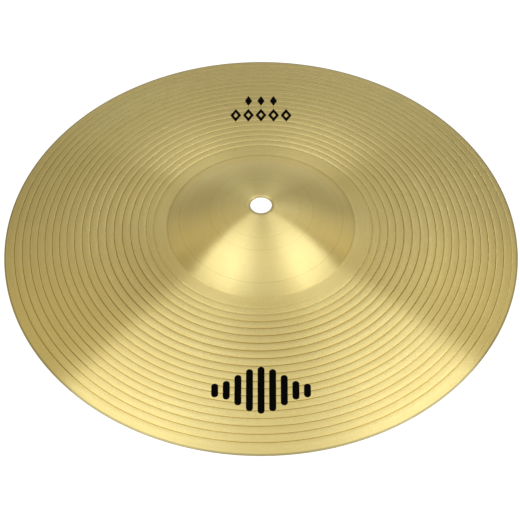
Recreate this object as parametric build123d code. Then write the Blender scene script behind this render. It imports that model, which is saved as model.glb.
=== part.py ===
from build123d import *
import math
import os

# A crash cymbal: one sheet of brass, pressed into a bell and a bow, lathed with shallow
# grooves, and printed with black ink. Millimetres. The origin is on the axis, level with
# the lowest line of the rim, and +Z points up through the bell.

# Driving dimensions
diameter = 406.4
hole_diameter = 16.9
bell_height = 46.8
bell_sphere_radius = 126.0
bell_foot_radius = 73.5
bell_foot_fillet = 3.5
bow_radius = 658.0
bell_thickness = 1.05
edge_thickness = 0.8
hole_edge_round = 0.15

groove_count = 20
groove_first_radius = 83.5
groove_pitch = 6.0
groove_width = 0.8
groove_depth = 0.12

ink_thickness = 0.1
ink_inner_radius = 112.0
ink_outer_radius = 178.0
wave_bar_count = 9
wave_bar_width = 5.2
wave_bar_pitch = 8.6
wave_height = 37.6
wave_end_height = 11.0
wave_centre_radius = 152.6
diamond_count = 5
diamond_width = 9.0
diamond_height = 17.0
diamond_pitch = 10.4
diamond_stroke = 2.3
diamond_centre_radius = 124.0
lozenge_count = 3
lozenge_width = 6.0
lozenge_height = 14.0
lozenge_pitch = 10.4
lozenge_centre_radius = 143.5

# Worked out from the driving dimensions
outer_radius = diameter / 2
hole_radius = hole_diameter / 2
bell_centre = (0.0, bell_height - bell_sphere_radius)
bell_under_radius = bell_sphere_radius - bell_thickness


def arc_centre(start, end, radius):
    """Centre of the arc of this radius that bulges upwards from start to end."""
    run = end[0] - start[0]
    drop = end[1] - start[1]
    chord = math.hypot(run, drop)
    depth = math.sqrt(radius**2 - (chord / 2) ** 2)
    middle = ((start[0] + end[0]) / 2, (start[1] + end[1]) / 2)
    return (middle[0] + drop / chord * depth, middle[1] - run / chord * depth)


def height_on_arc(centre, radius, r):
    """Height of an arc's upper side at the distance r from the axis."""
    return centre[1] + math.sqrt(radius**2 - (r - centre[0]) ** 2)


def section_point(r, z):
    """A point of the half section, which lies in the XZ plane."""
    return Vector(r, 0, z)


def section_arc(centre, radius, start_r, end_r):
    """The stretch of an upward bulging arc between two distances from the axis."""
    points = []
    for r in (start_r, (start_r + end_r) / 2, end_r):
        points.append(section_point(r, height_on_arc(centre, radius, r)))
    return ThreePointArc(*points)


# The bow's upper arc runs from the foot of the bell to the centre of the rounded rim,
# raised by half the thickness. The under arc runs the same way, half of it lower.
foot_height = height_on_arc(bell_centre, bell_sphere_radius, bell_foot_radius)
under_foot_height = height_on_arc(bell_centre, bell_under_radius, bell_foot_radius)
rim_centre = (outer_radius - edge_thickness / 2, edge_thickness / 2)
middle_foot = (bell_foot_radius, (foot_height + under_foot_height) / 2)
middle_centre = arc_centre(middle_foot, rim_centre, bow_radius)
rim_angle = math.asin((rim_centre[0] - middle_centre[0]) / bow_radius)
rim_normal = (math.sin(rim_angle), math.cos(rim_angle))
rim_along = (math.cos(rim_angle), -math.sin(rim_angle))


def rim_point(direction, sign):
    """A point of the rounded rim, half a thickness from its centre."""
    reach = sign * edge_thickness / 2
    return (rim_centre[0] + reach * direction[0], rim_centre[1] + reach * direction[1])


rim_top = rim_point(rim_normal, 1)
rim_tip = rim_point(rim_along, 1)
rim_under = rim_point(rim_normal, -1)
bow_centre = arc_centre((bell_foot_radius, foot_height), rim_top, bow_radius)
under_centre = arc_centre((bell_foot_radius, under_foot_height), rim_under, bow_radius)


def groove_arc(r):
    """One groove of the bow, as a shallow round hollow centred on the distance r."""
    inner = r - groove_width / 2
    outer = r + groove_width / 2
    return ThreePointArc(
        section_point(inner, height_on_arc(bow_centre, bow_radius, inner)),
        section_point(r, height_on_arc(bow_centre, bow_radius, r) - groove_depth),
        section_point(outer, height_on_arc(bow_centre, bow_radius, outer)),
    )


def grooved_bow(start_r, end_r):
    """The bow's upper line with its grooves, between two distances from the axis."""
    edges = []
    reached = start_r
    for index in range(groove_count):
        r = groove_first_radius + index * groove_pitch
        inner = r - groove_width / 2
        outer = r + groove_width / 2
        if inner > start_r and outer < end_r:
            edges.append(section_arc(bow_centre, bow_radius, reached, inner))
            edges.append(groove_arc(r))
            reached = outer
    edges.append(section_arc(bow_centre, bow_radius, reached, end_r))
    return edges


def revolved(edges):
    """The solid that a closed line of the half section sweeps around the axis."""
    return revolve(make_face(edges), Axis.Z, 360)


def foot_fillet(bell_side_radius, centre, fillet_radius):
    """The hollow fillet between a bell arc and a bow arc, with the distances of its two ends."""
    bell_reach = bell_side_radius + fillet_radius
    bow_reach = bow_radius + fillet_radius
    run = centre[0] - bell_centre[0]
    rise = centre[1] - bell_centre[1]
    gap = math.hypot(run, rise)
    along = (bell_reach**2 - bow_reach**2 + gap**2) / (2 * gap)
    across = math.sqrt(bell_reach**2 - along**2)
    middle_r = bell_centre[0] + (along * run - across * rise) / gap
    middle_z = bell_centre[1] + (along * rise + across * run) / gap
    bell_end = bell_side_radius / bell_reach * middle_r
    bow_end = centre[0] + bow_radius / bow_reach * (middle_r - centre[0])
    points = []
    for r in (bell_end, (bell_end + bow_end) / 2, bow_end):
        z = middle_z - math.sqrt(fillet_radius**2 - (r - middle_r) ** 2)
        points.append(section_point(r, z))
    return ThreePointArc(*points), bell_end, bow_end


def cymbal():
    """The whole sheet: bell, bow, grooves, rounded rim and centre hole."""
    top_fillet, top_bell_end, top_bow_end = foot_fillet(
        bell_sphere_radius, bow_centre, bell_foot_fillet
    )
    under_fillet, under_bell_end, under_bow_end = foot_fillet(
        bell_under_radius, under_centre, bell_foot_fillet + bell_thickness
    )
    round_start = hole_radius + hole_edge_round
    top_z = height_on_arc(bell_centre, bell_sphere_radius, round_start)
    under_z = height_on_arc(bell_centre, bell_under_radius, round_start)
    wall_top = section_point(hole_radius, top_z - hole_edge_round)
    wall_foot = section_point(hole_radius, under_z + hole_edge_round)
    edges = [
        Line(wall_foot, wall_top),
        Line(wall_top, section_point(round_start, top_z)),
        section_arc(bell_centre, bell_sphere_radius, round_start, top_bell_end),
        top_fillet,
    ]
    edges += grooved_bow(top_bow_end, rim_top[0])
    edges += [
        ThreePointArc(*[section_point(*point) for point in (rim_top, rim_tip, rim_under)]),
        section_arc(under_centre, bow_radius, under_bow_end, rim_under[0]),
        under_fillet,
        section_arc(bell_centre, bell_under_radius, round_start, under_bell_end),
        Line(section_point(round_start, under_z), wall_foot),
    ]
    return revolved(edges)


def ink_film():
    """A thin layer that lies on the grooved bow, from which the prints are cut."""
    lower = grooved_bow(ink_inner_radius, ink_outer_radius)
    lift = Location((0, 0, ink_thickness))
    upper = [edge.moved(lift) for edge in lower]
    edges = lower + upper
    for r in (ink_inner_radius, ink_outer_radius):
        z = height_on_arc(bow_centre, bow_radius, r)
        edges.append(Line(section_point(r, z), section_point(r, z + ink_thickness)))
    return revolved(edges)


def printed(outline, film):
    """The part of the ink film that lies under an outline drawn on the XY plane."""
    return extrude(outline, amount=bell_height) & film


def mirrored_steps(count):
    """Whole or half steps to the left and right of the middle, evenly spaced."""
    return [index - (count - 1) / 2 for index in range(count)]


def wave_outline():
    """A row of upright round-ended bars, tallest in the middle."""
    middle_step = (wave_bar_count - 1) / 2
    shapes = []
    for step in mirrored_steps(wave_bar_count):
        share = (1 + math.cos(math.pi * step / middle_step)) / 2
        height = wave_end_height + (wave_height - wave_end_height) * share
        bar = SlotOverall(height, wave_bar_width, rotation=90)
        shapes.append(Pos(step * wave_bar_pitch, -wave_centre_radius, 0) * bar)
    return Sketch(shapes)


def diamond(width, height):
    """A diamond that stands on its point."""
    corners = [(-width / 2, 0), (0, -height / 2), (width / 2, 0), (0, height / 2)]
    return make_face(Polyline(*corners, close=True))


def diamond_outline():
    """A row of open diamonds, each with a border of the same width all round."""
    side_angle = math.atan(diamond_width / diamond_height)
    shrink = 1 - 2 * diamond_stroke / (diamond_width * math.cos(side_angle))
    ring = diamond(diamond_width, diamond_height)
    ring -= diamond(diamond_width * shrink, diamond_height * shrink)
    shapes = []
    for step in mirrored_steps(diamond_count):
        shapes.append(Pos(step * diamond_pitch, diamond_centre_radius, 0) * ring)
    return Sketch(shapes)


def lozenge_outline():
    """A row of small filled diamonds."""
    solid_mark = diamond(lozenge_width, lozenge_height)
    shapes = []
    for step in mirrored_steps(lozenge_count):
        shapes.append(Pos(step * lozenge_pitch, lozenge_centre_radius, 0) * solid_mark)
    return Sketch(shapes)


os.makedirs("parts", exist_ok=True)
film = ink_film()
nodes = {
    "cymbal": cymbal(),
    "wave_print": printed(wave_outline(), film),
    "diamond_print": printed(diamond_outline(), film),
    "lozenge_print": printed(lozenge_outline(), film),
}
for name, shape in nodes.items():
    export_step(shape, f"parts/{name}.step")
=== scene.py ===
import math

import bpy
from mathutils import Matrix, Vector


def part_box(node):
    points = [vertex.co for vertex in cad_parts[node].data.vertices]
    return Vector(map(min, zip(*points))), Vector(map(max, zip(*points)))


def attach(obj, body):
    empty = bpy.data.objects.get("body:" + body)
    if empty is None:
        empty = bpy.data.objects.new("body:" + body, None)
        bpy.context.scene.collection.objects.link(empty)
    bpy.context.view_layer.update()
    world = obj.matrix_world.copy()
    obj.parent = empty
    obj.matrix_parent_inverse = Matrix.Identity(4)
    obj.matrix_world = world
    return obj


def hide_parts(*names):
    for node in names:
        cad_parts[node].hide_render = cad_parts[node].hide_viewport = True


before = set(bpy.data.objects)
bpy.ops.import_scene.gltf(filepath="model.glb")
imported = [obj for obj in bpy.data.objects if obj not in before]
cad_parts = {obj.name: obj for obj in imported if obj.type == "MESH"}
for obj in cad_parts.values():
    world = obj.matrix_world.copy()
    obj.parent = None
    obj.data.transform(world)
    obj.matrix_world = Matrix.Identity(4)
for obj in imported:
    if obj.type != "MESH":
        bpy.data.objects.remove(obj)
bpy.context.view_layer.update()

# Lengths are in metres. The frame is the part's own: the origin is on the axis, level with the
# lowest line of the rim, +Z goes up through the bell, and -Y is the side nearest the camera.

# The section. The rim's radius comes from the CAD node, and the other lengths repeat those of
# the part's source.
low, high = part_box("cymbal")
RIM_RADIUS = (high[0] - low[0]) / 2
HOLE_RADIUS = 0.00845
BELL_HEIGHT = 0.0468
BELL_SPHERE = 0.126
BELL_CENTRE = (0.0, BELL_HEIGHT - BELL_SPHERE)
BELL_FOOT = 0.0735
FOOT_FILLET = 0.0035
BOW_ARC = 0.658
BELL_THICKNESS = 0.00105
EDGE_THICKNESS = 0.0008
HOLE_ROUND = 0.00015

# The spiral groove. Its turns widen and narrow a little on the way out. It fades in at the
# bell, fades out near the rim and then closes up on itself.
FIRST_TURN_RADIUS = 0.082
TURN_PITCH = 0.00615
PITCH_SWING = 0.0008
PITCH_SWING_START = 5.9
PITCH_SWING_TURNS = 14.7
TURNS = 20
FADE_IN_TURNS = 0.5
FADE_OUT_TURNS = 0.3
RUN_OUT_TURN = 19.2
RUN_OUT_TURNS = 0.49

# The section of the groove. Each row lies at a share of the pitch from the groove's centre,
# and has its own share of the depth and of the painted shade, a dark tint that stands in for
# the shade in the groove.
GROOVE_DEPTH = 0.00013
GROOVE_ROWS = (-0.105, -0.078, -0.045, -0.012, 0.01, 0.024, 0.038, 0.052, 0.5)
GROOVE_DEPTH_AT_ROWS = (0.0, 0.14, 0.6, 0.95, 1.0, 0.68, 0.3, 0.0, 0.0)
# Painted shade: each row's dark tint darkens the groove's recess.
GROOVE_SHADE_AT_ROWS = (0.0, 0.6, 1.0, 1.0, 0.9, 0.25, 0.0, 0.0, 0.0)
TURN_ROWS = len(GROOVE_ROWS)

# Over these turns the groove gets shallower, down to this share of its depth.
SHALLOW_TURNS = (4, 14)
SHALLOW_DEPTH = 0.5

# The groove's painted shade is fainter next to the bell, and it fades at the sides and at the
# back, following how the light falls on the groove. The last two depend on how far towards
# the back a point lies, from -1 in front to 1 at the back.
SHADE_TURNS = (0, 4)
SHADE_AT_BELL = 0.25
SHADE_TO_SIDES = (-0.6, 0.1)
SHADE_AT_SIDES = 0.75
SHADE_TO_BACK = (0.42, 0.68)
SHADE_AT_BACK = 0.05

# Fine turned lines on the bell, each with its radius and the strength of its painted shade, and
# the painted shade in the hollow of the bell's foot.
BELL_LINES = ((0.0305, 0.25), (0.0405, 0.3), (0.064, 0.45))
LINE_HALF_WIDTH = 0.00025
LINE_DEPTH = 0.00003
FOOT_SHADE = 0.18

# The sheet's mesh: columns around the axis, and rings over each stretch of the section. The
# collar is the plain stretch between the bell's foot and the groove.
COLUMNS = 300
BELL_RINGS = 24
FOOT_RINGS = 9
COLLAR_RINGS = 4
RIM_RINGS = 9
UNDER_BOW_RINGS = 18
UNDER_FOOT_RINGS = 7
UNDER_BELL_RINGS = 18

# The prints. A row of marks is placed by its middle, and the wave print is on the -Y side.
# The ink's mesh has a row of points at each step along a mark, with so many points across.
INK_TOP = 0.0001
INK_UNDER = -0.00005
INK_INTO_GROOVE = 0.4
INK_STEP = 0.00025
INK_ACROSS = 5
WAVE_BARS = 9
WAVE_BAR_WIDTH = 0.0052
WAVE_PITCH = 0.0086
WAVE_HEIGHT = 0.0376
WAVE_END_HEIGHT = 0.011
WAVE_MIDDLE = -0.1526
DIAMONDS = 5
DIAMOND_WIDTH = 0.009
DIAMOND_HEIGHT = 0.017
DIAMOND_STROKE = 0.0023
DIAMOND_MIDDLE = 0.124
LOZENGES = 3
LOZENGE_WIDTH = 0.006
LOZENGE_HEIGHT = 0.014
LOZENGE_MIDDLE = 0.1435
SMALL_MARK_PITCH = 0.0104
TIP_WIDTH = 0.0001

# The tones of the brass, how much of a tint each kind of mark gives, and where the tone
# changes, as distances from the axis. The brown that the marks give is painted shade.
BRASS_LIGHT = (0.88, 0.72, 0.295, 1)
BRASS_DEEP = (0.81, 0.645, 0.24, 1)
BRASS_WARM = (0.86, 0.68, 0.25, 1)
# Painted shade in the groove, the bell's lines and the bell's foot
SHADE_BROWN = (0.34, 0.21, 0.02, 1)
# Painted shade along the rim's edge; the same brown darkens the edge of the hole
EDGE_BROWN = (0.5, 0.41, 0.17, 1)
# How much painted shade a full mark gives
SHADE_STRENGTH = 0.9
CLOUD_TINT = 0.5
BELL_RING_TINT = 0.3
NEAR_FOOT = (BELL_FOOT - 0.01, BELL_FOOT + 0.01)
# Where the rim's painted shade lies
NEAR_RIM = (RIM_RADIUS - 0.0018, RIM_RADIUS - 0.0009)
NEAR_HOLE = (HOLE_RADIUS + 0.0003, HOLE_RADIUS + 0.0009)

# Noise in the brass. Lathe marks have a scale outwards, a scale around the axis and a detail.
# Clouds and grain have a scale and a detail. A band is the range of the noise that is used.
FINE_MARKS = (1500, 18.0, 3.0)
BROAD_MARKS = (260, 0.8, 2.0)
MARK_NOISE_ROUGHNESS = 0.6
MARK_BAND = (0.3, 0.7)
CLOUD = (9.0, 3.0)
CLOUD_BAND = (0.35, 0.75)
GRAIN = (750.0, 2.0)
GRAIN_BAND = (0.4, 0.65)

# The finish of the brass. It is rougher on the bow than on the bell, and smoother again from
# the middle of the bow outwards.
BRASS_ROUGHNESS = 0.32
ROUGHNESS_SWING = 0.02
GROOVE_ROUGHNESS = 0.2
BELL_TO_BOW = (BELL_FOOT - 0.004, BELL_FOOT + 0.004)
BELL_ROUGHER = -0.01
BOW_ROUGHER = 0.035
OUTER_BOW = (0.1, 0.145)
OUTER_SMOOTHER = 0.05
BRASS_ANISOTROPY = 0.99
ANISOTROPY_TURN = 0.25
FINE_MARK_HEIGHT = 3.0
BRASS_BUMP = 0.5
BRASS_BUMP_HEIGHT = 0.00004

# The ink
INK_BLACK = (0.0006, 0.0005, 0.0004, 1)
INK_WORN = (0.0022, 0.0018, 0.0013, 1)
INK_GRAIN = (900.0, 3.0)
INK_GRAIN_BAND = (0.3, 0.7)
INK_ROUGHNESS = (0.45, 0.6)
INK_BUMP = 0.3
INK_BUMP_HEIGHT = 0.00003
INK_SHINE = 0.02

# The camera
CAMERA_ELEVATION = math.radians(50.3)
CAMERA_DISTANCE = 1.6
CAMERA_TARGET = Vector((-0.0008, -0.017, 0))
SENSOR_WIDTH = 36
LENS = 140.5

# The floor
FLOOR_SIZE = 24.0
FLOOR_GREY = (0.1, 0.1, 0.1, 1)
FLOOR_LIGHT = (1, 1, 1, 1)
FLOOR_ROUGHNESS = 0.9
FLOOR_GLOW = 1.0

# The sky. It glows at the horizon, and behind the object to the right and the left, and it is
# warmer on both sides. A band is a range of how far a direction of length 1 goes to the right,
# to the back or up.
SKY_PALE = (1.0, 1.0, 0.99, 1)
SKY_WARM = (1.05, 0.955, 0.7, 1)
SKY_LOW = 0.08
SKY_TOP = 0.92
HORIZON_UP = (0.04, 0.18)
HORIZON_GLOW = 0.7
RIGHT_BAND = (0.6, 0.78)
RIGHT_GLOW = 0.42
LEFT_BAND = (-0.78, -0.6)
LEFT_GLOW = 0.28
GLOW_BACK = (0.1, 0.32)
WARM_ASIDE = (0.2, 0.42)
WARM_UP = (0.14, 0.34)

# The lamps, in units of their height over the object: where one edge starts, the way it runs
# in degrees, its length, the lamp's width to the right of it, and the brightness.
LAMP_HEIGHT = 4.0
LAMP_COLOUR = (0.88, 1.0, 1.3)
SOFTBOXES = {
    "softbox_left": ((-0.45, 0.335), -144, 0.66, -0.7, 1.58),
    "softbox_right": ((0.5, 0.43), -26, 0.72, 0.76, 1.72),
    "softbox_front": ((-0.32, 0.0), 0, 0.64, 0.55, 0.34),
    "softbox_fill": ((0.13, 1.01), 0, 0.2, 0.32, 1.5),
}


# ---------------------------------------------------------------- the section

def arc_centre(start, end, radius):
    """Centre of the arc of this radius that bulges upwards from start to end."""
    run = end[0] - start[0]
    drop = end[1] - start[1]
    chord = math.hypot(run, drop)
    depth = math.sqrt(radius**2 - (chord / 2) ** 2)
    middle = ((start[0] + end[0]) / 2, (start[1] + end[1]) / 2)
    return (middle[0] + drop / chord * depth, middle[1] - run / chord * depth)


def height_on_arc(centre, radius, r):
    """Height of an arc's upper side at the distance r from the axis."""
    return centre[1] + math.sqrt(radius**2 - (r - centre[0]) ** 2)


class Side:
    """One side of the sheet: a bell arc, a hollow fillet at the bell's foot, and a bow arc."""

    def __init__(self, bell_radius, fillet_radius, rim_end):
        self.bell_radius = bell_radius
        self.fillet_radius = fillet_radius
        foot = (BELL_FOOT, height_on_arc(BELL_CENTRE, bell_radius, BELL_FOOT))
        self.bow_centre = arc_centre(foot, rim_end, BOW_ARC)
        bell_reach = bell_radius + fillet_radius
        bow_reach = BOW_ARC + fillet_radius
        run = self.bow_centre[0] - BELL_CENTRE[0]
        rise = self.bow_centre[1] - BELL_CENTRE[1]
        gap = math.hypot(run, rise)
        along = (bell_reach**2 - bow_reach**2 + gap**2) / (2 * gap)
        across = math.sqrt(bell_reach**2 - along**2)
        self.fillet_centre = (
            BELL_CENTRE[0] + (along * run - across * rise) / gap,
            BELL_CENTRE[1] + (along * rise + across * run) / gap,
        )
        self.bell_end = bell_radius / bell_reach * self.fillet_centre[0]
        reach = BOW_ARC / bow_reach * (self.fillet_centre[0] - self.bow_centre[0])
        self.bow_start = self.bow_centre[0] + reach

    def height(self, r):
        """Height of this side at the distance r from the axis."""
        if r < self.bell_end:
            return height_on_arc(BELL_CENTRE, self.bell_radius, r)
        if r > self.bow_start:
            return height_on_arc(self.bow_centre, BOW_ARC, r)
        out = r - self.fillet_centre[0]
        return self.fillet_centre[1] - math.sqrt(self.fillet_radius**2 - out**2)


# The rim is a half round of the edge's thickness, square to the sheet's slope there.
rim_centre = (RIM_RADIUS - EDGE_THICKNESS / 2, EDGE_THICKNESS / 2)
foot_top = height_on_arc(BELL_CENTRE, BELL_SPHERE, BELL_FOOT)
foot_under = height_on_arc(BELL_CENTRE, BELL_SPHERE - BELL_THICKNESS, BELL_FOOT)
middle_centre = arc_centre((BELL_FOOT, (foot_top + foot_under) / 2), rim_centre, BOW_ARC)
rim_tilt = math.asin((rim_centre[0] - middle_centre[0]) / BOW_ARC)


def rim_round(angle):
    """A point of the rounded rim, from its top end at pi/2 to its under end at -pi/2."""
    turned = angle - rim_tilt
    r = rim_centre[0] + EDGE_THICKNESS / 2 * math.cos(turned)
    return (r, rim_centre[1] + EDGE_THICKNESS / 2 * math.sin(turned))


rim_top = rim_round(math.pi / 2)
rim_under = rim_round(-math.pi / 2)
top = Side(BELL_SPHERE, FOOT_FILLET, rim_top)
under = Side(BELL_SPHERE - BELL_THICKNESS, FOOT_FILLET + BELL_THICKNESS, rim_under)


# ---------------------------------------------------------------- the spiral

def smooth_step(value):
    value = min(max(value, 0.0), 1.0)
    return value * value * (3 - 2 * value)


def plain_turn_radius(turn):
    swing = math.sin(2 * math.pi * (turn - PITCH_SWING_START) / PITCH_SWING_TURNS)
    return FIRST_TURN_RADIUS + TURN_PITCH * turn + PITCH_SWING * swing


def turn_radius(turn):
    """Radius of the groove's centre after this many turns. It closes up as it runs out."""
    if turn <= RUN_OUT_TURN:
        return plain_turn_radius(turn)
    left = (turn - RUN_OUT_TURN) / RUN_OUT_TURNS
    return plain_turn_radius(RUN_OUT_TURN) + TURN_PITCH * RUN_OUT_TURNS * (1 - math.exp(-left))


def groove_strength(turn):
    """How much groove there is at this turn, from 0 to 1. It fades in and out at its ends."""
    faded_in = smooth_step(turn / FADE_IN_TURNS)
    return faded_in * smooth_step((RUN_OUT_TURN - turn) / FADE_OUT_TURNS)


def blend(value, span, start, end):
    """Runs smoothly from start to end as the value runs over the span."""
    return start + (end - start) * smooth_step((value - span[0]) / (span[1] - span[0]))


def groove_depth(turn):
    """Depth of the groove at this turn. It is cut more lightly towards the rim."""
    return GROOVE_DEPTH * groove_strength(turn) * blend(turn, SHALLOW_TURNS, 1, SHALLOW_DEPTH)


def groove_painted_shade(turn):
    """How much painted shade the groove has at this turn, from 0 to 1."""
    towards_back = math.sin(-2 * math.pi * turn)
    darkness = groove_strength(turn) * blend(turn, SHADE_TURNS, SHADE_AT_BELL, 1)
    darkness *= blend(towards_back, SHADE_TO_SIDES, 1, SHADE_AT_SIDES)
    return darkness * blend(towards_back, SHADE_TO_BACK, 1, SHADE_AT_BACK)


def groove_below(x, y):
    """Depth of the groove at a point of the bow, and 0 between its turns."""
    r = math.hypot(x, y)
    part_turn = (-math.atan2(y, x) / (2 * math.pi)) % 1.0
    turn = part_turn + round((r - turn_radius(part_turn)) / TURN_PITCH)
    nearest = min((turn - 1, turn, turn + 1), key=lambda t: abs(turn_radius(t) - r))
    pitch = turn_radius(nearest + 1) - turn_radius(nearest)
    away = (r - turn_radius(nearest)) / pitch
    if not 0 <= nearest <= TURNS or abs(away) > GROOVE_ROWS[-2]:
        return 0.0
    for start, end, deep, next_deep in zip(
        GROOVE_ROWS, GROOVE_ROWS[1:], GROOVE_DEPTH_AT_ROWS, GROOVE_DEPTH_AT_ROWS[1:]
    ):
        if start <= away <= end:
            share = (away - start) / (end - start)
            return groove_depth(nearest) * (deep + (next_deep - deep) * share)
    return 0.0


# The grooved rows lie between two plain rings.
grooves_start = turn_radius(0) + GROOVE_ROWS[0] * (turn_radius(1) - turn_radius(0))
last_pitch = turn_radius(TURNS + 2) - turn_radius(TURNS + 1)
grooves_end = turn_radius(TURNS + 1) + GROOVE_ROWS[0] * last_pitch


# ---------------------------------------------------------------- the sheet

def even(start, end, count):
    """Evenly spaced values from start to end, both included."""
    return [start + (end - start) * index / (count - 1) for index in range(count)]


def bell_rings():
    """Radius, depth and painted shade of each plain ring from the hole's edge to the first groove.
    """
    bell = even(HOLE_RADIUS + HOLE_ROUND, top.bell_end, BELL_RINGS)
    foot = even(top.bell_end, top.bow_start, FOOT_RINGS)[1:-1]
    collar = even(top.bow_start, grooves_start, COLLAR_RINGS)
    rings = [(r, 0.0, 0.0) for r in bell + collar]
    for middle, strength in BELL_LINES:
        for step in (-2, -1, 0, 1, 2):
            share = strength if step == 0 else 0.0
            rings.append((middle + step * LINE_HALF_WIDTH, LINE_DEPTH * share, share))
    # The rings of the bell's foot get painted shade.
    rings += [(r, 0.0, FOOT_SHADE) for r in foot]
    return sorted(rings)


class SheetBuilder:
    """Vertices and faces of the sheet. Columns run clockwise, as the spiral does. Each vertex
    has a mark, for how much painted shade it has, and a cut, for how far the groove's tool has
    smoothed it."""

    def __init__(self):
        self.vertices = []
        self.marks = []
        self.cuts = []
        self.faces = []

    def add(self, r, column, z, mark=0.0, cut=0.0):
        angle = -2 * math.pi * column / COLUMNS
        self.vertices.append((r * math.cos(angle), r * math.sin(angle), z))
        self.marks.append(mark)
        self.cuts.append(cut)
        return len(self.vertices) - 1

    def ring(self, r, z, mark=0.0):
        return [self.add(r, column, z, mark) for column in range(COLUMNS)]

    def join(self, inner, outer, columns=None):
        for column in columns or range(COLUMNS):
            after = (column + 1) % COLUMNS
            self.faces.append((inner[column], inner[after], outer[after], outer[column]))

    def join_all(self, rings):
        for inner, outer in zip(rings, rings[1:]):
            self.join(inner, outer)

    def groove_point(self, row, column):
        """A point of the grooved rows, each of which ends a turn further out than it starts."""
        turn = row // TURN_ROWS + column / COLUMNS
        place = row % TURN_ROWS
        centre = turn_radius(turn)
        r = centre + GROOVE_ROWS[place] * (turn_radius(turn + 1) - centre)
        depth = groove_depth(turn) * GROOVE_DEPTH_AT_ROWS[place]
        # The mark is the groove's painted shade.
        mark = groove_painted_shade(turn) * GROOVE_SHADE_AT_ROWS[place]
        cut = groove_strength(turn) if GROOVE_DEPTH_AT_ROWS[place] else 0.0
        return self.add(r, column, top.height(r) - depth, mark, cut)

    def grooved_rows(self, start_ring, end_ring):
        """The spiral rows between two plain rings, with a wedge inside and one outside."""
        last_row = TURNS * TURN_ROWS
        inner_columns = range(1, COLUMNS - 1)
        grid = []
        for row in range(last_row + 1):
            first = start_ring[0] if row == 0 else self.groove_point(row, 0)
            others = [self.groove_point(row, column) for column in range(1, COLUMNS)]
            grid.append([first] + others)
        # Each row's last point joins the first point of the row that is a turn further out.
        seam = [points[0] for points in grid]
        seam += [self.groove_point(last_row + step, 0) for step in range(1, TURN_ROWS)]
        seam.append(end_ring[0])
        for row in range(last_row):
            inner, outer = grid[row], grid[row + 1]
            self.join(inner, outer, range(COLUMNS - 1))
            turned = row + TURN_ROWS
            self.faces.append((inner[-1], seam[turned], seam[turned + 1], outer[-1]))

        first_row = grid[0]
        self.join(start_ring, first_row, inner_columns)
        self.faces.append((start_ring[0], start_ring[1], first_row[1]))
        self.faces.append((first_row[-1], start_ring[-1], seam[0]))
        for inner, outer in zip(seam[:TURN_ROWS], seam[1 : TURN_ROWS + 1]):
            self.faces.append((first_row[-1], inner, outer))

        last = grid[-1]
        self.join(last, end_ring, inner_columns)
        self.faces.append((last[-1], end_ring[0], end_ring[-1]))
        for inner, outer in zip(seam[last_row:], seam[last_row + 1 :]):
            self.faces.append((inner, last[1], outer))
        self.faces.append((last[1], end_ring[1], end_ring[0]))


def placed(mesh):
    """A smooth shaded object of this mesh, riding on the part's one body."""
    mesh.shade_smooth()
    piece = bpy.data.objects.new(mesh.name, mesh)
    bpy.context.scene.collection.objects.link(piece)
    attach(piece, "root")
    return piece


def build_cymbal():
    """The whole sheet as one closed mesh, with the spiral groove in its upper face."""
    sheet = SheetBuilder()
    hole_edge = HOLE_RADIUS + HOLE_ROUND
    upper = [sheet.ring(r, top.height(r) - depth, mark) for r, depth, mark in bell_rings()]
    end_ring = sheet.ring(grooves_end, top.height(grooves_end))
    sheet.join_all(upper)
    sheet.grooved_rows(upper[-1], end_ring)

    rings = [end_ring]
    for angle in even(math.pi / 2, -math.pi / 2, RIM_RINGS):
        rings.append(sheet.ring(*rim_round(angle)))
    radii = even(rim_under[0], under.bow_start, UNDER_BOW_RINGS)[1:]
    radii += even(under.bow_start, under.bell_end, UNDER_FOOT_RINGS)[1:]
    radii += even(under.bell_end, hole_edge, UNDER_BELL_RINGS)[1:]
    rings += [sheet.ring(r, under.height(r)) for r in radii]
    rings.append(sheet.ring(HOLE_RADIUS, under.height(hole_edge) + HOLE_ROUND))
    rings.append(sheet.ring(HOLE_RADIUS, top.height(hole_edge) - HOLE_ROUND))
    rings.append(upper[0])
    sheet.join_all(rings)

    mesh = bpy.data.meshes.new("cymbal_sheet")
    mesh.from_pydata(sheet.vertices, [], sheet.faces)
    # The groove attribute holds the painted shade of the groove, the bell's lines and the foot.
    mesh.attributes.new("groove", "FLOAT", "POINT").data.foreach_set("value", sheet.marks)
    mesh.attributes.new("cut", "FLOAT", "POINT").data.foreach_set("value", sheet.cuts)
    return placed(mesh)


# ---------------------------------------------------------------- the prints

def surface(x, y, lift):
    """A point at (x, y) that is lift over the bow. Over a groove it dips by a share of it."""
    sunk = INK_INTO_GROOVE * groove_below(x, y)
    return (x, y, top.height(math.hypot(x, y)) - sunk + lift)


class InkBuilder:
    """Thin closed films that follow the bow."""

    def __init__(self):
        self.vertices = []
        self.faces = []

    def film(self, grid, looped=False):
        """One film from a grid of (x, y) points. A looped grid's last row joins its first."""
        rows = len(grid)
        wide = len(grid[0])
        start = len(self.vertices)
        for lift in (INK_TOP, INK_UNDER):
            for row in grid:
                self.vertices += [surface(x, y, lift) for x, y in row]
        lower = rows * wide

        def number(row, place, layer=0):
            return start + layer + (row % rows) * wide + place

        for row in range(rows if looped else rows - 1):
            for place in range(wide - 1):
                corners = ((row, place), (row, place + 1), (row + 1, place + 1), (row + 1, place))
                self.faces.append([number(*corner) for corner in corners])
                self.faces.append([number(*corner, lower) for corner in reversed(corners)])
            for place, step in ((0, 0), (wide - 1, 1)):
                near, far = row + step, row + 1 - step
                self.faces.append([
                    number(near, place), number(far, place),
                    number(far, place, lower), number(near, place, lower),
                ])
        if looped:
            return
        for place in range(wide - 1):
            for row, step in ((0, 0), (rows - 1, 1)):
                near, far = place + step, place + 1 - step
                self.faces.append([
                    number(row, far), number(row, near),
                    number(row, near, lower), number(row, far, lower),
                ])


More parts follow.
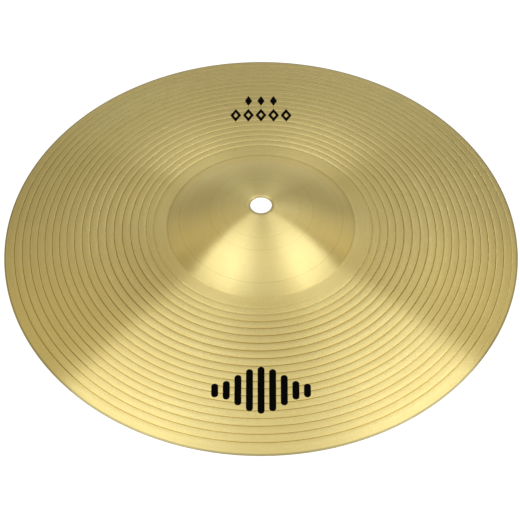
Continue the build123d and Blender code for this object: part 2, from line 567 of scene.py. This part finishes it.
def build_print(name, films, node, looped=False):
    """One printed group: a film for each grid, in place of a CAD node."""
    ink = InkBuilder()
    for grid in films:
        ink.film(grid, looped)
    mesh = bpy.data.meshes.new(name)
    mesh.from_pydata(ink.vertices, [], ink.faces)
    piece = placed(mesh)
    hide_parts(node)
    return piece


def steps_about_middle(count, pitch):
    """Places along X of a row of marks, evenly spaced about the middle."""
    return [(index - (count - 1) / 2) * pitch for index in range(count)]


def filled_mark(x, y, height, half_width):
    """Grid of a mark. half_width gives half its width at a distance up or down from its middle."""
    rows = []
    for up in even(-height / 2, height / 2, 2 * round(height / 2 / INK_STEP) + 1):
        reach = max(half_width(abs(up)), TIP_WIDTH / 2)
        rows.append([(x + side * reach, y + up) for side in even(-1, 1, INK_ACROSS)])
    return rows


def wave_films():
    """Upright round-ended bars, tallest in the middle."""
    films = []
    end = WAVE_BAR_WIDTH / 2
    for x in steps_about_middle(WAVE_BARS, WAVE_PITCH):
        share = (1 + math.cos(2 * math.pi * x / (WAVE_PITCH * (WAVE_BARS - 1)))) / 2
        height = WAVE_END_HEIGHT + (WAVE_HEIGHT - WAVE_END_HEIGHT) * share

        def half_width(up, straight=height / 2 - end):
            return math.sqrt(max(end**2 - max(up - straight, 0) ** 2, 0))

        films.append(filled_mark(x, WAVE_MIDDLE, height, half_width))
    return films


def lozenge_films():
    """Filled diamonds."""
    films = []
    for x in steps_about_middle(LOZENGES, SMALL_MARK_PITCH):

        def half_width(up):
            return LOZENGE_WIDTH / 2 * (1 - 2 * up / LOZENGE_HEIGHT)

        films.append(filled_mark(x, LOZENGE_MIDDLE, LOZENGE_HEIGHT, half_width))
    return films


def diamond_films():
    """Open diamonds. Each grid goes once round its border."""
    side_angle = math.atan(DIAMOND_WIDTH / DIAMOND_HEIGHT)
    shrink = 1 - 2 * DIAMOND_STROKE / (DIAMOND_WIDTH * math.cos(side_angle))
    half_x, half_y = DIAMOND_WIDTH / 2, DIAMOND_HEIGHT / 2
    corners = [(half_x, 0), (0, half_y), (-half_x, 0), (0, -half_y)]
    steps = round(math.hypot(half_x, half_y) / INK_STEP)
    films = []
    for x in steps_about_middle(DIAMONDS, SMALL_MARK_PITCH):
        grid = []
        for corner, (start_x, start_y) in enumerate(corners):
            end_x, end_y = corners[(corner + 1) % 4]
            for step in range(steps):
                share = step / steps
                side_x = start_x + (end_x - start_x) * share
                side_y = start_y + (end_y - start_y) * share
                scales = even(shrink, 1, INK_ACROSS)
                grid.append([(x + side_x * s, DIAMOND_MIDDLE + side_y * s) for s in scales])
        films.append(grid)
    return films


# ---------------------------------------------------------------- materials

def add_node(tree, kind, settings=None, **inputs):
    """Adds a shader node. An input is named, or numbered as in i0. A socket is linked to it,
    and any other value is set on it."""
    node = tree.nodes.new(kind)
    for name, value in (settings or {}).items():
        setattr(node, name, value)
    for name, value in inputs.items():
        numbered = name[0] == "i" and name[1:].isdigit()
        socket = node.inputs[int(name[1:]) if numbered else name]
        if isinstance(value, bpy.types.NodeSocket):
            tree.links.new(value, socket)
        else:
            socket.default_value = value
    return node


def math_node(tree, operation, first, second=0.0):
    node = add_node(tree, "ShaderNodeMath", {"operation": operation}, i0=first, i1=second)
    return node.outputs[0]


def mix_colour(tree, factor, first, second):
    node = add_node(tree, "ShaderNodeMix", {"data_type": "RGBA"}, i0=factor, i6=first, i7=second)
    return node.outputs[2]


def ramp(tree, value, band, start, end):
    """Runs smoothly from start to end as the value runs over the band."""
    node = add_node(
        tree, "ShaderNodeMapRange", {"interpolation_type": "SMOOTHSTEP"},
        i0=value, i1=band[0], i2=band[1], i3=start, i4=end,
    )
    return node.outputs[0]


def noise(tree, point, scale, detail):
    node = add_node(tree, "ShaderNodeTexNoise", Vector=point, Scale=scale, Detail=detail)
    return node.outputs[0]


def new_material(name):
    material = bpy.data.materials.new(name)
    material.use_nodes = True
    tree = material.node_tree
    tree.nodes.clear()
    shader = add_node(tree, "ShaderNodeBsdfPrincipled")
    output = add_node(tree, "ShaderNodeOutputMaterial")
    tree.links.new(shader.outputs[0], output.inputs[0])
    return material, tree, shader


def polar(tree, place):
    """A surface point's distance from the axis, and the direction that it lies in."""
    x, y, _ = add_node(tree, "ShaderNodeSeparateXYZ", i0=place).outputs
    flat = add_node(tree, "ShaderNodeCombineXYZ", i0=x, i1=y).outputs[0]
    r = add_node(tree, "ShaderNodeVectorMath", {"operation": "LENGTH"}, i0=flat).outputs[1]
    way = add_node(tree, "ShaderNodeVectorMath", {"operation": "NORMALIZE"}, i0=flat).outputs[0]
    return r, way


def lathe_marks(tree, r, way, scale_out, scale_round, detail):
    """Noise that is drawn out in circles about the axis."""
    turned = add_node(tree, "ShaderNodeVectorMath", {"operation": "SCALE"}, i0=way, i3=scale_round)
    outward = add_node(tree, "ShaderNodeCombineXYZ", i2=math_node(tree, "MULTIPLY", r, scale_out))
    point = add_node(
        tree, "ShaderNodeVectorMath", {"operation": "ADD"},
        i0=turned.outputs[0], i1=outward.outputs[0],
    )
    marks = add_node(
        tree, "ShaderNodeTexNoise",
        Vector=point.outputs[0], Scale=1.0, Detail=detail, Roughness=MARK_NOISE_ROUGHNESS,
    )
    return marks.outputs[0]


def brass_material():
    material, tree, shader = new_material("brass")
    groove = add_node(tree, "ShaderNodeAttribute", {"attribute_name": "groove"}).outputs["Fac"]
    cut = add_node(tree, "ShaderNodeAttribute", {"attribute_name": "cut"}).outputs["Fac"]
    place = add_node(tree, "ShaderNodeTexCoord").outputs["Object"]
    r, way = polar(tree, place)
    fine = lathe_marks(tree, r, way, *FINE_MARKS)
    broad = lathe_marks(tree, r, way, *BROAD_MARKS)
    cloud = noise(tree, place, *CLOUD)
    grain = noise(tree, place, *GRAIN)

    on_bow = ramp(tree, r, NEAR_FOOT, BELL_RING_TINT, 1.0)
    rings = math_node(tree, "MULTIPLY", ramp(tree, broad, MARK_BAND, 0.0, 1.0), on_bow)
    tone = mix_colour(tree, rings, BRASS_LIGHT, BRASS_DEEP)
    tone = mix_colour(tree, ramp(tree, cloud, CLOUD_BAND, 0.0, CLOUD_TINT), tone, BRASS_WARM)
    specks = math_node(tree, "MULTIPLY", ramp(tree, grain, GRAIN_BAND, 0.0, 1.0), on_bow)
    tone = mix_colour(tree, specks, tone, BRASS_DEEP)
    # Painted shade: the marks darken the groove, the bell's lines and the foot to brown.
    tone = mix_colour(tree, math_node(tree, "MULTIPLY", groove, SHADE_STRENGTH), tone, SHADE_BROWN)
    # Painted shade: a brown band along the rim, and the same brown at the hole's edge.
    tone = mix_colour(tree, ramp(tree, r, NEAR_RIM, 0.0, 1.0), tone, EDGE_BROWN)
    tone = mix_colour(tree, ramp(tree, r, NEAR_HOLE, 1.0, 0.0), tone, EDGE_BROWN)
    tree.links.new(tone, shader.inputs["Base Color"])

    roughest = BRASS_ROUGHNESS + ROUGHNESS_SWING
    rough = ramp(tree, fine, MARK_BAND, BRASS_ROUGHNESS - ROUGHNESS_SWING, roughest)
    smoother = math_node(tree, "MULTIPLY", cut, BRASS_ROUGHNESS - GROOVE_ROUGHNESS)
    rough = math_node(tree, "SUBTRACT", rough, smoother)
    rougher = ramp(tree, r, BELL_TO_BOW, BELL_ROUGHER, BOW_ROUGHER)
    rough = math_node(tree, "ADD", rough, rougher)
    rough = math_node(tree, "SUBTRACT", rough, ramp(tree, r, OUTER_BOW, 0.0, OUTER_SMOOTHER))
    tree.links.new(rough, shader.inputs["Roughness"])

    height = math_node(tree, "MULTIPLY", fine, FINE_MARK_HEIGHT)
    height = math_node(tree, "ADD", height, grain)
    bump = add_node(
        tree, "ShaderNodeBump", Strength=BRASS_BUMP, Distance=BRASS_BUMP_HEIGHT, Height=height
    )
    tree.links.new(bump.outputs[0], shader.inputs["Normal"])
    tangent = add_node(tree, "ShaderNodeTangent", {"direction_type": "RADIAL", "axis": "Z"})
    tree.links.new(tangent.outputs[0], shader.inputs["Tangent"])
    shader.inputs["Metallic"].default_value = 1.0
    shader.inputs["Anisotropic"].default_value = BRASS_ANISOTROPY
    shader.inputs["Anisotropic Rotation"].default_value = ANISOTROPY_TURN
    return material


def ink_material():
    material, tree, shader = new_material("ink")
    place = add_node(tree, "ShaderNodeTexCoord").outputs["Object"]
    grain = noise(tree, place, *INK_GRAIN)
    tone = mix_colour(tree, ramp(tree, grain, INK_GRAIN_BAND, 0.0, 1.0), INK_BLACK, INK_WORN)
    tree.links.new(tone, shader.inputs["Base Color"])
    rough = ramp(tree, grain, INK_GRAIN_BAND, *INK_ROUGHNESS)
    tree.links.new(rough, shader.inputs["Roughness"])
    bump = add_node(
        tree, "ShaderNodeBump", Strength=INK_BUMP, Distance=INK_BUMP_HEIGHT, Height=grain
    )
    tree.links.new(bump.outputs[0], shader.inputs["Normal"])
    shader.inputs["Specular IOR Level"].default_value = INK_SHINE
    return material


def floor_material():
    material, tree, shader = new_material("floor")
    shader.inputs["Base Color"].default_value = FLOOR_GREY
    shader.inputs["Roughness"].default_value = FLOOR_ROUGHNESS
    shader.inputs["Emission Color"].default_value = FLOOR_LIGHT
    shader.inputs["Emission Strength"].default_value = FLOOR_GLOW
    return material


# ---------------------------------------------------------------- the studio

def build_floor():
    half = FLOOR_SIZE / 2
    corners = [(-half, -half, 0), (half, -half, 0), (half, half, 0), (-half, half, 0)]
    mesh = bpy.data.meshes.new("floor")
    mesh.from_pydata(corners, [], [(0, 1, 2, 3)])
    mesh.materials.append(floor_material())
    floor = bpy.data.objects.new("floor", mesh)
    bpy.context.scene.collection.objects.link(floor)


def softbox(name, start, turn, length, width, brightness):
    """A lamp facing down. One edge runs from start for its length at turn degrees. The lamp
    lies to the right of that edge, or to the left of it if the width is negative."""
    light = bpy.data.lights.new(name, "AREA")
    light.shape = "RECTANGLE"
    light.size = length * LAMP_HEIGHT
    light.size_y = abs(width) * LAMP_HEIGHT
    light.energy = brightness * math.pi * light.size * light.size_y
    light.color = LAMP_COLOUR
    turned = math.radians(turn)
    along = Vector((math.cos(turned), math.sin(turned), 0))
    across = Vector((math.sin(turned), -math.cos(turned), 0))
    lamp = bpy.data.objects.new(name, light)
    middle = Vector((start[0], start[1], 1)) + along * length / 2 + across * width / 2
    lamp.location = middle * LAMP_HEIGHT
    lamp.rotation_euler = (0, 0, turned)
    bpy.context.scene.collection.objects.link(lamp)


def build_studio():
    world = bpy.data.worlds.new("studio")
    world.use_nodes = True
    tree = world.node_tree
    background = tree.nodes["Background"]
    way = add_node(tree, "ShaderNodeTexCoord").outputs["Generated"]
    right, back, up = add_node(tree, "ShaderNodeSeparateXYZ", i0=way).outputs
    rise = math_node(tree, "MULTIPLY", math_node(tree, "MULTIPLY", up, up), SKY_TOP - SKY_LOW)
    sky = math_node(tree, "ADD", rise, SKY_LOW)
    sky = math_node(tree, "ADD", sky, ramp(tree, up, HORIZON_UP, HORIZON_GLOW, 0.0))
    right_glow = ramp(tree, right, RIGHT_BAND, 0.0, RIGHT_GLOW)
    left_glow = ramp(tree, right, LEFT_BAND, LEFT_GLOW, 0.0)
    side_glow = math_node(tree, "ADD", right_glow, left_glow)
    side_glow = math_node(tree, "MULTIPLY", side_glow, ramp(tree, back, GLOW_BACK, 0.0, 1.0))
    sky = math_node(tree, "ADD", sky, side_glow)
    tree.links.new(sky, background.inputs["Strength"])
    aside = ramp(tree, math_node(tree, "ABSOLUTE", right), WARM_ASIDE, 0.0, 1.0)
    warmth = math_node(tree, "MULTIPLY", aside, ramp(tree, up, WARM_UP, 0.0, 1.0))
    tree.links.new(mix_colour(tree, warmth, SKY_PALE, SKY_WARM), background.inputs["Color"])
    bpy.context.scene.world = world
    bpy.context.scene.view_settings.view_transform = "Standard"
    build_floor()
    for name, settings in SOFTBOXES.items():
        softbox(name, *settings)


def build_camera():
    data = bpy.data.cameras.new("camera")
    data.sensor_width = SENSOR_WIDTH
    data.lens = LENS
    camera = bpy.data.objects.new("camera", data)
    away = Vector((0, -math.cos(CAMERA_ELEVATION), math.sin(CAMERA_ELEVATION)))
    camera.location = CAMERA_TARGET + CAMERA_DISTANCE * away
    camera.rotation_euler = away.to_track_quat("Z", "Y").to_euler()
    bpy.context.scene.collection.objects.link(camera)
    bpy.context.scene.camera = camera


cymbal = build_cymbal()
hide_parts("cymbal")
cymbal.data.materials.append(brass_material())
ink = ink_material()
prints = (
    build_print("wave_ink", wave_films(), "wave_print"),
    build_print("lozenge_ink", lozenge_films(), "lozenge_print"),
    build_print("diamond_ink", diamond_films(), "diamond_print", looped=True),
)
for piece in prints:
    piece.data.materials.append(ink)
build_studio()
build_camera()
